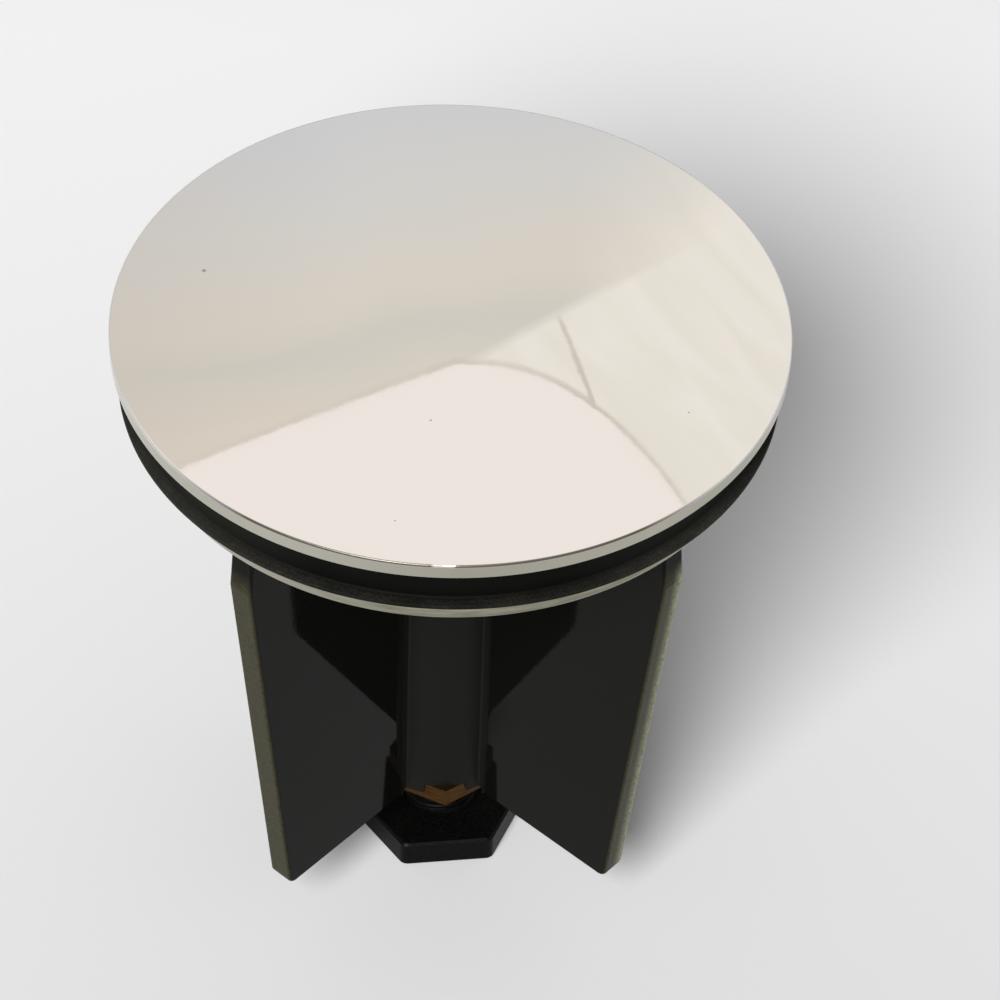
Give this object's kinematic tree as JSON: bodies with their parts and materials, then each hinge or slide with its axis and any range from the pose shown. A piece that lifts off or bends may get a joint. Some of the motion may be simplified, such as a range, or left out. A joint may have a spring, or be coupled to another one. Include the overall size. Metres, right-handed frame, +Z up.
{
  "type": "drain stopper",
  "caption": "Pop-up basin drain stopper: flat polished cover disc, rubber lip seal, clamp flange, winged guide and a height-adjusting screw underneath.",
  "frame": {"origin": "centre of the flat under the screw head, on the surface that the stopper stands on", "axes": "+Z up the axis towards the cover; the four wings lie along +X, -X, +Y and -Y"},
  "size_m": [0.04, 0.04, 0.0432],
  "materials": {
    "chrome_plate": "mirror polished chromium plate on brass",
    "stud_steel": "zinc plated, threaded",
    "seal_rubber": "moulded nitrile rubber, satin, dusty along the lip",
    "chrome_flange": "chromium plated, bright",
    "guide_plastic": "glossy black moulded ABS",
    "insert_brass": "machined brass, bright",
    "screw_nylon": "black moulded nylon, satin gloss, threaded shank and hexagon head"
  },
  "bodies": {
    "stopper": {"cover_plate": "chrome_plate", "cover_stud": "stud_steel", "sealing_ring": "seal_rubber", "clamp_flange": "chrome_flange", "guide_cross": "guide_plastic", "top_insert": "insert_brass", "bottom_insert": "insert_brass"},
    "shank": {"screw_shank": "screw_nylon"},
    "head": {"screw_head": "screw_nylon"}
  },
  "joints": [
    {"name": "screw_height", "type": "slide", "parent": "stopper", "child": "shank", "axis": [0, 0, 1], "range_m": [-0.008, 0.003]},
    {"name": "screw_turn", "type": "hinge", "parent": "shank", "child": "head", "pos_m": [0, 0, 0.001], "axis": [0, 0, 1], "range_deg": [-3600, 1350]}
  ],
  "couplings": [
    {"joint": "screw_turn", "follows": "screw_height", "rad_per_m": 7854}
  ]
}
